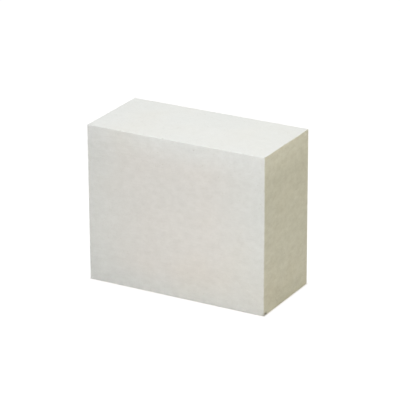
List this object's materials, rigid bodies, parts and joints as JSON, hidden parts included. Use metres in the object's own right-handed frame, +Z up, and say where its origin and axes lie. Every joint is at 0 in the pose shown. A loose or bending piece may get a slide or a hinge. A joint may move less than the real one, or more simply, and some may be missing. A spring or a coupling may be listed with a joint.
{
  "type": "aerated concrete block",
  "caption": "Plain solid off-white aerated concrete block, a flat-faced cuboid with slightly worn arrises, laid in courses to build a wall.",
  "frame": {"origin": "centre of the lower bed face, on which the block stands", "axes": "+X along the block's length, +Y through its thickness to the back face, +Z up the course"},
  "size_m": [0.3, 0.14, 0.25],
  "materials": {
    "aerated_concrete": "matte"
  },
  "bodies": {
    "root": {"block": "aerated_concrete"}
  },
  "joints": []
}
